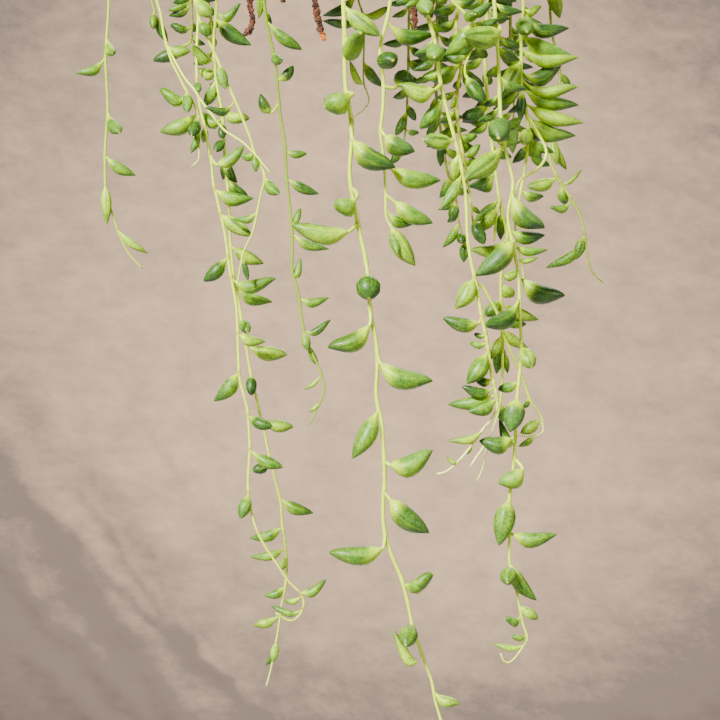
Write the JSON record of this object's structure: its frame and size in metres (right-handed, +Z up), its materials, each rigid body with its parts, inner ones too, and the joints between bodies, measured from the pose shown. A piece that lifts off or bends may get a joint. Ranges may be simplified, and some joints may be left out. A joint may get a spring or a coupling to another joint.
{
  "type": "hanging potted string of beads plant",
  "caption": "Plain flanged pot on a wire hanger with a hook, filled with soil and a trailing succulent whose long stems carry fleshy, pointed, boat-shaped beads over the rim.",
  "frame": {"origin": "the point of the hook's underside that bears on what the pot hangs from", "axes": "+Z up, +X to the right seen from the front, +Y to the back"},
  "size_m": [0.2336, 0.2282, 0.774],
  "materials": {
    "succulent": "fleshy waxy leaf, glossy in part, with pale stems",
    "root": "matt fibrous root with clinging soil",
    "soil": "crumbly potting soil",
    "pot": "matt terracotta-coloured plastic",
    "steel": "galvanised wire"
  },
  "bodies": {
    "root": {"ferrule": "steel", "hanger_wire_1": "steel", "hanger_wire_2": "steel", "hanger_wire_3": "steel", "hook": "steel", "pot": "pot", "root_tail_front": "root", "root_tail_left": "root", "root_tail_middle": "root", "root_tail_right": "root", "soil": "soil", "stem_back_curl": "succulent", "stem_back_soft": "succulent", "stem_back_twin": "succulent", "stem_far_left": "succulent", "stem_front": "succulent", "stem_front_short": "succulent", "stem_left_back": "succulent", "stem_left_behind": "succulent", "stem_left_dark": "succulent", "stem_left_front": "succulent", "stem_left_slant": "succulent", "stem_low_left": "succulent", "stem_low_left_inner": "succulent", "stem_right_behind": "succulent", "stem_right_cross": "succulent", "stem_right_edge": "succulent", "stem_right_fan": "succulent", "stem_right_front": "succulent", "stem_right_inner": "succulent", "stem_right_long": "succulent", "stem_right_olive": "succulent", "stem_right_second": "succulent", "stem_short_01": "succulent", "stem_short_02": "succulent", "stem_short_03": "succulent", "stem_short_04": "succulent", "stem_short_05": "succulent", "stem_short_06": "succulent", "stem_short_07": "succulent", "stem_short_08": "succulent", "stem_short_09": "succulent", "stem_short_10": "succulent", "stem_short_11": "succulent", "tuft_1": "succulent", "tuft_2": "succulent", "tuft_3": "succulent", "tuft_4": "succulent"}
  },
  "joints": []
}
